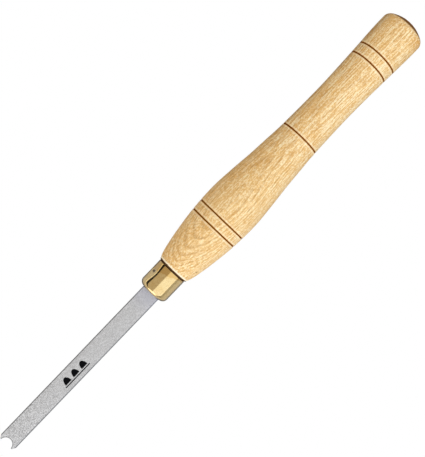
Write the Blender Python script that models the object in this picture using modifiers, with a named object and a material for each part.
"""A wood turner's beading tool, lying along X with its tip at -X and its flat cutting face up.

The tool is three pieces: a flat bar of tool steel, with a half-round notch at its tip and a tang at its
other end, a turned brass ferrule, and a turned hardwood handle that the tang is driven into. Lengths are in
metres. A station is a distance along the tool from the plane where the handle's shoulder meets the ferrule,
positive towards the butt. The origin is on the surface under the handle's belly, below the middle of the
tool's whole length.
"""

import math

import bmesh
import bpy

MM = 0.001

# Fits: neighbours that touch on the real tool keep this clearance.
FIT_GAP = 0.3 * MM

# Blade: bar stock half an inch by a quarter of an inch.
BAR_WIDTH = 12.7 * MM
BAR_THICKNESS = 6.35 * MM
BAR_EDGE_BEVEL = 0.5 * MM
NECK_INSET = 0.35 * MM
BLADE_REACH = 131.4 * MM
BEAD_RADIUS = 4.15 * MM
BEAD_DEPTH = 3.9 * MM
HORN_FLAT = 0.8 * MM
HORN_CORNER_LENGTH = 2.1 * MM
CUTTING_RELIEF = math.radians(20)
TANG_LENGTH = 62 * MM
TANG_ROOT_WIDTH = 9.0 * MM
TANG_ROOT_THICKNESS = 5.2 * MM
TANG_END_WIDTH = 5.0 * MM
TANG_END_THICKNESS = 4.0 * MM

# Ferrule: a drawn brass cup, open at the rear, with a hole in its rounded front for the bar.
FERRULE_LENGTH = 19.05 * MM
FERRULE_DIAMETER = 20.6 * MM
FERRULE_WALL = 1.2 * MM
FERRULE_LIP_RADIUS = 3.5 * MM
FERRULE_MOUTH_DIAMETER = 14.4 * MM

# Handle: (station, diameter) pairs that its side curve passes through, from shoulder to butt.
BELLY_DIAMETER = 36.5 * MM
BUTT_DIAMETER = 29.9 * MM
HANDLE_LENGTH = 215.5 * MM
HANDLE_CURVE = (
    (0.0 * MM, 21.3 * MM),
    (3.5 * MM, 24.2 * MM),
    (8.5 * MM, 26.8 * MM),
    (19.0 * MM, 30.6 * MM),
    (36.0 * MM, 34.9 * MM),
    (55.5 * MM, BELLY_DIAMETER),
    (72.0 * MM, 34.3 * MM),
    (87.0 * MM, 31.3 * MM),
    (100.0 * MM, 29.5 * MM),
    (113.0 * MM, 27.7 * MM),
    (145.0 * MM, 26.4 * MM),
    (162.0 * MM, 27.0 * MM),
    (180.0 * MM, 28.2 * MM),
    (204.0 * MM, BUTT_DIAMETER),
)
BUTT_DOME_RADIUS = 23.5 * MM
BUTT_CORNER_RADIUS = 4.7 * MM
RING_STATIONS = (37.3 * MM, 44.6 * MM, 115.3 * MM, 177.5 * MM, 185.3 * MM)
RING_WIDTH = 0.8 * MM
RING_DEPTH = 0.4 * MM

# Stepped hole for the tang: (depth from the spigot's face, diameter) of each drill, widest first.
TANG_DRILLS = ((24 * MM, 11.5 * MM), (46 * MM, 9.6 * MM), (65 * MM, 8.1 * MM))
DRILL_POINT_HALF_ANGLE = math.radians(59)

# Smoothness of the turned and round shapes.
TURNED_STEPS = 48
CURVE_STEP = 6 * MM
LEAST_CURVE_STEPS = 2
ARC_STEPS = 5
NOTCH_STEPS = 24
MERGE_DISTANCE = 0.00001
CUTTER_MARGIN = 5 * MM

# Derived places.
FERRULE_FRONT = -(FIT_GAP + FERRULE_LENGTH)
SPIGOT_FRONT = FERRULE_FRONT + FERRULE_WALL + FIT_GAP
TANG_SHOULDER = SPIGOT_FRONT - FIT_GAP
NECK_START = FERRULE_FRONT - FIT_GAP
TIP = FERRULE_FRONT - BLADE_REACH
SHOULDER_X = -(TIP + HANDLE_LENGTH) / 2
AXIS_HEIGHT = BELLY_DIAMETER / 2


def clear_scene():
    for thing in list(bpy.data.objects):
        bpy.data.objects.remove(thing)


def new_collection(name):
    collection = bpy.data.collections.new(name)
    bpy.context.scene.collection.children.link(collection)
    return collection


def surface(name, colour, roughness, metallic):
    """A plain material with one colour and finish."""
    material = bpy.data.materials.new(name)
    material.use_nodes = True
    shader = material.node_tree.nodes["Principled BSDF"]
    shader.inputs["Base Color"].default_value = (*colour, 1.0)
    shader.inputs["Roughness"].default_value = roughness
    shader.inputs["Metallic"].default_value = metallic
    return material


def ground_steel():
    return surface("ground_tool_steel", (0.50, 0.50, 0.51), 0.45, 1.0)


def polished_brass():
    return surface("polished_brass", (0.71, 0.51, 0.23), 0.22, 1.0)


def waxed_hardwood():
    return surface("waxed_hardwood", (0.78, 0.55, 0.30), 0.5, 0.0)


def add_piece(name, mesh, material, collection, axis):
    """Puts a mesh in the scene as one piece, held by the tool's axis."""
    piece = bpy.data.objects.new(name, mesh)
    mesh.materials.append(material)
    collection.objects.link(piece)
    piece.parent = axis
    return piece


def add_helper(name, mesh, collection, axis):
    """Puts a mesh in the scene as a shape that only serves Boolean modifiers."""
    helper = bpy.data.objects.new(name, mesh)
    collection.objects.link(helper)
    helper.parent = axis
    helper.hide_render = True
    helper.display_type = "WIRE"
    return helper


def add_boolean(piece, name, operation, other):
    modifier = piece.modifiers.new(name, "BOOLEAN")
    modifier.operation = operation
    modifier.object = other
    modifier.solver = "EXACT"


def arc(centre, radius, start, end, steps):
    """Points (station, radius) round a centre. Angle 0 points to the butt, a quarter turn points outwards."""
    angles = [start + (end - start) * k / steps for k in range(steps + 1)]
    return [(centre[0] + radius * math.cos(a), centre[1] + radius * math.sin(a)) for a in angles]


def turned(name, profile, is_loop, material, collection, axis):
    """A solid of revolution about the tool's axis, from (station, radius) points with the outer side first.

    The outer side runs from the butt towards the tip. The profile turns about its own Z, which is then laid
    along the tool.
    """
    mesh = bpy.data.meshes.new(name)
    points = [(radius, 0.0, station) for station, radius in profile]
    edges = [(k, k + 1) for k in range(len(points) - 1)]
    if is_loop:
        edges.append((len(points) - 1, 0))
    mesh.from_pydata(points, edges, [])
    piece = add_piece(name, mesh, material, collection, axis)
    piece.rotation_euler = (0.0, math.pi / 2, 0.0)
    screw = piece.modifiers.new("turn", "SCREW")
    screw.axis = "Z"
    screw.steps = TURNED_STEPS
    screw.render_steps = TURNED_STEPS
    screw.use_merge_vertices = True
    screw.merge_threshold = MERGE_DISTANCE
    screw.use_smooth_shade = True
    return piece


def handle_slopes():
    """The side curve's slope at each given station, from its neighbours on both sides, and level at the butt."""
    last = len(HANDLE_CURVE) - 1
    slopes = []
    for k in range(last + 1):
        before = HANDLE_CURVE[max(k - 1, 0)]
        after = HANDLE_CURVE[min(k + 1, last)]
        slopes.append((after[1] - before[1]) / (after[0] - before[0]))
    slopes[last] = 0.0
    return slopes


def handle_side():
    """Points of the side curve from shoulder to butt: one cubic between each two given stations."""
    slopes = handle_slopes()
    points = [(HANDLE_CURVE[0][0], HANDLE_CURVE[0][1] / 2)]
    for k in range(len(HANDLE_CURVE) - 1):
        (start, d_start), (end, d_end) = HANDLE_CURVE[k], HANDLE_CURVE[k + 1]
        span = end - start
        steps = max(LEAST_CURVE_STEPS, math.ceil(span / CURVE_STEP))
        for step in range(1, steps + 1):
            u = step / steps
            diameter = (
                (2 * u**3 - 3 * u**2 + 1) * d_start
                + (u**3 - 2 * u**2 + u) * span * slopes[k]
                + (3 * u**2 - 2 * u**3) * d_end
                + (u**3 - u**2) * span * slopes[k + 1]
            )
            points.append((start + u * span, diameter / 2))
    return points


def radius_at(points, station):
    for (start, r_start), (end, r_end) in zip(points, points[1:]):
        if start <= station <= end:
            return r_start + (r_end - r_start) * (station - start) / (end - start)
    raise ValueError("the station is off the curve")


def with_rings(points):
    """The side curve with a V groove cut at each burnt ring."""
    kept = [p for p in points if all(abs(p[0] - ring) > RING_WIDTH for ring in RING_STATIONS)]
    for ring in RING_STATIONS:
        for offset, depth in ((-RING_WIDTH / 2, 0.0), (0.0, RING_DEPTH), (RING_WIDTH / 2, 0.0)):
            station = ring + offset
            kept.append((station, radius_at(points, station) - depth))
    return sorted(kept)


def butt_end():
    """Points from the middle of the domed end round its corner to the side, which is straight from there."""
    side_radius = BUTT_DIAMETER / 2
    corner_height = side_radius - BUTT_CORNER_RADIUS
    reach = BUTT_DOME_RADIUS - BUTT_CORNER_RADIUS
    meeting = math.asin(corner_height / reach)
    dome_centre = (HANDLE_LENGTH - BUTT_DOME_RADIUS, 0.0)
    corner_centre = (dome_centre[0] + reach * math.cos(meeting), corner_height)
    dome = arc(dome_centre, BUTT_DOME_RADIUS, 0.0, meeting, ARC_STEPS)
    corner = arc(corner_centre, BUTT_CORNER_RADIUS, meeting, math.pi / 2, ARC_STEPS)
    return dome + corner[1:]


def spigot():
    """Points from the shoulder along the part that fills the ferrule, round its front corner to its face."""
    radius = FERRULE_DIAMETER / 2 - FERRULE_WALL - FIT_GAP
    corner_radius = FERRULE_LIP_RADIUS - FERRULE_WALL - FIT_GAP
    centre = (SPIGOT_FRONT + corner_radius, radius - corner_radius)
    return [(0.0, radius)] + arc(centre, corner_radius, math.pi / 2, math.pi, ARC_STEPS)


def tang_hole():
    """Points from the hole's rim on the spigot's face, down its steps, to its drilled point on the axis."""
    points = []
    depth_before = 0.0
    for depth, diameter in TANG_DRILLS:
        points.append((SPIGOT_FRONT + depth_before, diameter / 2))
        points.append((SPIGOT_FRONT + depth, diameter / 2))
        depth_before = depth
    last_depth, last_diameter = TANG_DRILLS[-1]
    point_length = last_diameter / 2 / math.tan(DRILL_POINT_HALF_ANGLE)
    points.append((SPIGOT_FRONT + last_depth + point_length, 0.0))
    return points


def make_handle(collection, axis):
    side = with_rings(handle_side())
    profile = butt_end() + side[::-1] + spigot() + tang_hole()
    return turned("handle", profile, False, waxed_hardwood(), collection, axis)


def make_ferrule(collection, axis):
    """The cup's outer skin from rear to front, and its inner skin back again."""
    outer = FERRULE_DIAMETER / 2
    centre = (FERRULE_FRONT + FERRULE_LIP_RADIUS, outer - FERRULE_LIP_RADIUS)
    inner_lip = FERRULE_LIP_RADIUS - FERRULE_WALL
    mouth_height = FERRULE_MOUTH_DIAMETER / 2 - centre[1]
    outer_end = math.pi - math.asin(mouth_height / FERRULE_LIP_RADIUS)
    inner_end = math.pi - math.asin(mouth_height / inner_lip)
    profile = [(-FIT_GAP, outer)]
    profile += arc(centre, FERRULE_LIP_RADIUS, math.pi / 2, outer_end, ARC_STEPS)
    profile += arc(centre, inner_lip, inner_end, math.pi / 2, ARC_STEPS)
    profile += [(-FIT_GAP, outer - FERRULE_WALL)]
    return turned("ferrule", profile, True, polished_brass(), collection, axis)


def box_between(name, start, end, start_size, end_size):
    """A four-sided mesh along the tool whose (width, thickness) may differ at its two ends."""
    mesh = bpy.data.meshes.new(name)
    shape = bmesh.new()
    bmesh.ops.create_cube(shape, size=1.0)
    for corner in shape.verts:
        at_end = corner.co.x > 0
        width, thickness = end_size if at_end else start_size
        corner.co = (end if at_end else start, corner.co.y * width, corner.co.z * thickness)
    shape.to_mesh(mesh)
    shape.free()
    return mesh


def bar_stock():
    """The bar from tip to neck, with its four long edges bevelled."""
    size = (BAR_WIDTH, BAR_THICKNESS)
    mesh = box_between("blade", TIP, NECK_START, size, size)
    shape = bmesh.new()
    shape.from_mesh(mesh)
    long_edges = [e for e in shape.edges if e.calc_length() > BAR_WIDTH * 2]
    bmesh.ops.bevel(shape, geom=long_edges, offset=BAR_EDGE_BEVEL, segments=1, affect="EDGES")
    shape.to_mesh(mesh)
    shape.free()
    return mesh


def tip_outline():
    """The outline, on the cutting face, of all that is ground off the tip, as (station, across) points."""
    half_width = BAR_WIDTH / 2
    half_chord = math.sqrt(BEAD_RADIUS**2 - (BEAD_RADIUS - BEAD_DEPTH) ** 2)
    centre = (TIP + BEAD_DEPTH - BEAD_RADIUS, 0.0)
    swing = math.atan2(half_chord, BEAD_RADIUS - BEAD_DEPTH)
    notch = arc(centre, BEAD_RADIUS, swing, -swing, NOTCH_STEPS)
    overhang = half_width + CUTTER_MARGIN
    corner_width = half_width - half_chord - HORN_FLAT
    beyond = TIP + HORN_CORNER_LENGTH * (1 + CUTTER_MARGIN / corner_width)
    side = [
        (TIP - CUTTER_MARGIN, overhang),
        (beyond, overhang),
        (TIP, half_chord + HORN_FLAT),
    ]
    return side + notch + [(station, -across) for station, across in reversed(side)]


def mesh_of_outline(name, outline, half_thickness):
    """A filled flat outline given a thickness, as one closed mesh."""
    curve = bpy.data.curves.new(name, "CURVE")
    curve.dimensions = "2D"
    curve.fill_mode = "BOTH"
    curve.extrude = half_thickness
    spline = curve.splines.new("POLY")
    spline.points.add(len(outline) - 1)
    for point, (station, across) in zip(spline.points, outline):
        point.co = (station, across, 0.0, 1.0)
    spline.use_cyclic_u = True
    holder = bpy.data.objects.new(name, curve)
    bpy.context.scene.collection.objects.link(holder)
    bpy.context.view_layer.update()
    evaluated = holder.evaluated_get(bpy.context.evaluated_depsgraph_get())
    mesh = bpy.data.meshes.new_from_object(evaluated)
    bpy.data.objects.remove(holder)
    shape = bmesh.new()
    shape.from_mesh(mesh)
    bmesh.ops.remove_doubles(shape, verts=shape.verts, dist=MERGE_DISTANCE)
    bmesh.ops.recalc_face_normals(shape, faces=shape.faces)
    shape.to_mesh(mesh)
    shape.free()
    return mesh


def tip_cutter_mesh():
    """The ground-off shape, leaning back below the cutting face so that the edge has its relief."""
    mesh = mesh_of_outline("tip_grind", tip_outline(), BAR_THICKNESS)
    cutting_face = BAR_THICKNESS / 2
    for vertex in mesh.vertices:
        vertex.co.x += (cutting_face - vertex.co.z) * math.tan(CUTTING_RELIEF)
    return mesh


def neck_mesh():
    """The slightly smaller end of the bar that passes through the ferrule's mouth, started inside the bar."""
    size = (BAR_WIDTH - 2 * NECK_INSET, BAR_THICKNESS - 2 * NECK_INSET)
    return box_between("neck", NECK_START - BAR_THICKNESS, TANG_SHOULDER, size, size)


def tang_mesh():
    """The tapered tang, started inside the bar."""
    growth = BAR_THICKNESS / TANG_LENGTH
    width = TANG_ROOT_WIDTH + (TANG_ROOT_WIDTH - TANG_END_WIDTH) * growth
    thickness = TANG_ROOT_THICKNESS + (TANG_ROOT_THICKNESS - TANG_END_THICKNESS) * growth
    return box_between(
        "tang",
        TANG_SHOULDER - BAR_THICKNESS,
        TANG_SHOULDER + TANG_LENGTH,
        (width, thickness),
        (TANG_END_WIDTH, TANG_END_THICKNESS),
    )


def make_blade(collection, helpers, axis):
    blade = add_piece("blade", bar_stock(), ground_steel(), collection, axis)
    neck = add_helper("neck", neck_mesh(), helpers, axis)
    tang = add_helper("tang", tang_mesh(), helpers, axis)
    grind = add_helper("tip_grind", tip_cutter_mesh(), helpers, axis)
    add_boolean(blade, "grind_neck", "UNION", neck)
    add_boolean(blade, "forge_tang", "UNION", tang)
    add_boolean(blade, "grind_tip", "DIFFERENCE", grind)
    return blade


def make_axis(collection):
    """The tool's axis at the handle's shoulder, which places every piece."""
    axis = bpy.data.objects.new("tool_axis", None)
    collection.objects.link(axis)
    axis.location = (SHOULDER_X, 0.0, AXIS_HEIGHT)
    return axis


def main():
    clear_scene()
    pieces = new_collection("beading_tool")
    helpers = new_collection("cutters")
    axis = make_axis(pieces)
    make_handle(pieces, axis)
    make_ferrule(pieces, axis)
    make_blade(pieces, helpers, axis)


main()
